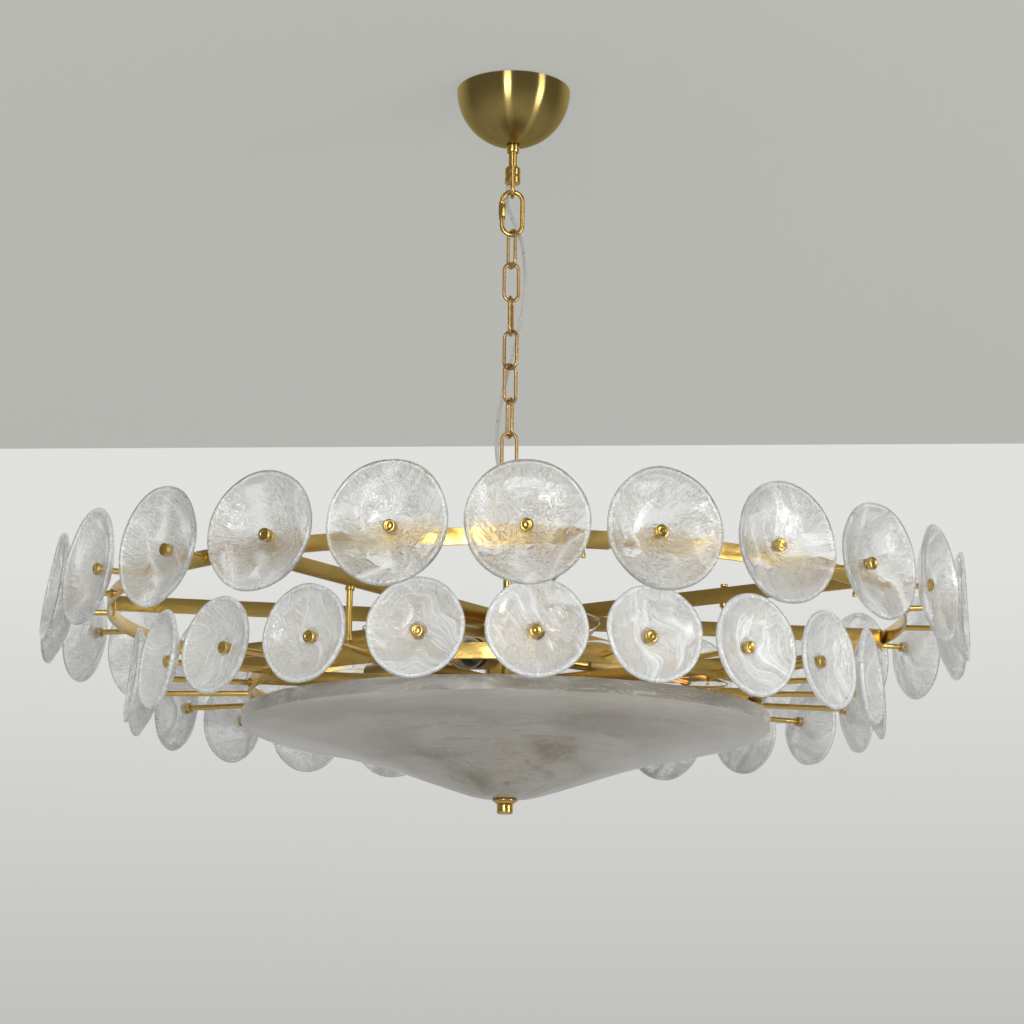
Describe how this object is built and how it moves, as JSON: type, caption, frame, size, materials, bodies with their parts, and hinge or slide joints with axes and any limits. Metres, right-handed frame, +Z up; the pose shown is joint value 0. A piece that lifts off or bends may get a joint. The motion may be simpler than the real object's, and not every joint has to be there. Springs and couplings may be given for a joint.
{
  "type": "glass disc chandelier",
  "caption": "Round ceiling chandelier: two tiers of concave glass discs on brass rings, a shallow glass dish below, hung from a domed canopy by a chain.",
  "frame": {"origin": "middle of the ceiling bracket's upper face, on the ceiling", "axes": "+Z up, out of the ceiling face; -Y is the side that the picture shows"},
  "size_m": [0.975, 0.975, 0.811],
  "materials": {
    "brass": "polished",
    "satin_brass": "satin",
    "chain_brass": "satin",
    "zinc_steel": "zinc plated",
    "clear_glass": "polished, with white swirls",
    "cloud_glass": "polished, clouded",
    "bulb_glass": "clear",
    "clear_plastic": "clear"
  },
  "bodies": {
    "ceiling": {"ceiling_bracket": "zinc_steel", "bracket_nut": "zinc_steel", "canopy_stem": "brass", "ceiling_loop": "brass"},
    "canopy": {"canopy": "satin_brass", "canopy_collar": "satin_brass"},
    "quick_link": {"quick_link": "brass"},
    "quick_link_sleeve": {"quick_link_sleeve": "brass"},
    "link_1": {"chain_link_1": "chain_brass"},
    "link_2": {"chain_link_2": "chain_brass"},
    "link_3": {"chain_link_3": "chain_brass"},
    "link_4": {"chain_link_4": "chain_brass", "supply_cord": "clear_plastic"},
    "link_5": {"chain_link_5": "chain_brass"},
    "link_6": {"chain_link_6": "chain_brass"},
    "link_7": {"chain_link_7": "chain_brass"},
    "fixture": {"fixture_loop": "brass", "fixture_stem": "brass", "hub_nut": "brass", "upper_spokes": "brass", "upper_ring": "brass", "upper_disc_01": "clear_glass", "upper_disc_02": "clear_glass", "upper_disc_03": "clear_glass", "upper_disc_04": "clear_glass", "upper_disc_05": "clear_glass", "upper_disc_06": "clear_glass", "upper_disc_07": "clear_glass", "upper_disc_08": "clear_glass", "upper_disc_09": "clear_glass", "upper_disc_10": "clear_glass", "upper_disc_11": "clear_glass", "upper_disc_12": "clear_glass", "upper_disc_13": "clear_glass", "upper_disc_14": "clear_glass", "upper_disc_15": "clear_glass", "upper_disc_16": "clear_glass", "upper_disc_17": "clear_glass", "upper_disc_18": "clear_glass", "upper_disc_19": "clear_glass", "upper_disc_20": "clear_glass", "upper_disc_21": "clear_glass", "upper_disc_22": "clear_glass", "upper_disc_23": "clear_glass", "upper_disc_24": "clear_glass", "hanger_rod_1": "brass", "hanger_rod_2": "brass", "hanger_rod_3": "brass", "hanger_rod_4": "brass", "lower_spokes": "brass", "lower_ring_with_discs": "clear_glass", "lamp_cluster": "bulb_glass", "dish_rod": "brass"},
    "dish": {"glass_dish": "cloud_glass", "dish_seat": "brass"},
    "finial": {"finial": "brass"}
  },
  "joints": [
    {"name": "canopy_slide", "type": "slide", "parent": "ceiling", "child": "canopy", "axis": [0, 0, 1], "range_m": [-0.017, 0]},
    {"name": "quick_link_swing", "type": "hinge", "parent": "ceiling", "child": "quick_link", "pos_m": [0, 0, -0.1245], "axis": [0, 1, 0], "range_deg": [-12, 12]},
    {"name": "sleeve_slide", "type": "slide", "parent": "quick_link", "child": "quick_link_sleeve", "axis": [0, 0, 1], "range_m": [-0.0065, 0]},
    {"name": "link_1_swing", "type": "hinge", "parent": "quick_link", "child": "link_1", "pos_m": [0, 0, -0.16945], "axis": [1, 0, 0], "range_deg": [-12, 12]},
    {"name": "link_2_swing", "type": "hinge", "parent": "link_1", "child": "link_2", "pos_m": [0, 0, -0.2074], "axis": [0.4695, -0.8829, 0], "range_deg": [-12, 12]},
    {"name": "link_3_swing", "type": "hinge", "parent": "link_2", "child": "link_3", "pos_m": [0, 0, -0.2461], "axis": [0.9903, 0.1392, 0], "range_deg": [-12, 12]},
    {"name": "link_4_swing", "type": "hinge", "parent": "link_3", "child": "link_4", "pos_m": [0, 0, -0.2848], "axis": [0.2079, 0.9781, 0], "range_deg": [-12, 12], "deforming": ["supply_cord"]},
    {"name": "link_5_swing", "type": "hinge", "parent": "link_4", "child": "link_5", "pos_m": [0, 0, -0.3235], "axis": [-0.848, 0.5299, 0], "range_deg": [-12, 12]},
    {"name": "link_6_swing", "type": "hinge", "parent": "link_5", "child": "link_6", "pos_m": [0, 0, -0.3622], "axis": [-0.788, -0.6157, 0], "range_deg": [-12, 12]},
    {"name": "link_7_swing", "type": "hinge", "parent": "link_6", "child": "link_7", "pos_m": [0, 0, -0.4009], "axis": [0.309, -0.9511, 0], "range_deg": [-12, 12]},
    {"name": "fixture_swing", "type": "hinge", "parent": "link_7", "child": "fixture", "pos_m": [0, 0, -0.4396], "axis": [0.9994, -0.0349, 0], "range_deg": [-12, 12]},
    {"name": "dish_drop", "type": "slide", "parent": "fixture", "child": "dish", "axis": [0, 0, 1], "range_m": [-0.008, 0]},
    {"name": "finial_turn", "type": "hinge", "parent": "dish", "child": "finial", "pos_m": [0, 0, -0.8005], "axis": [0, 0, 1], "continuous": true}
  ]
}
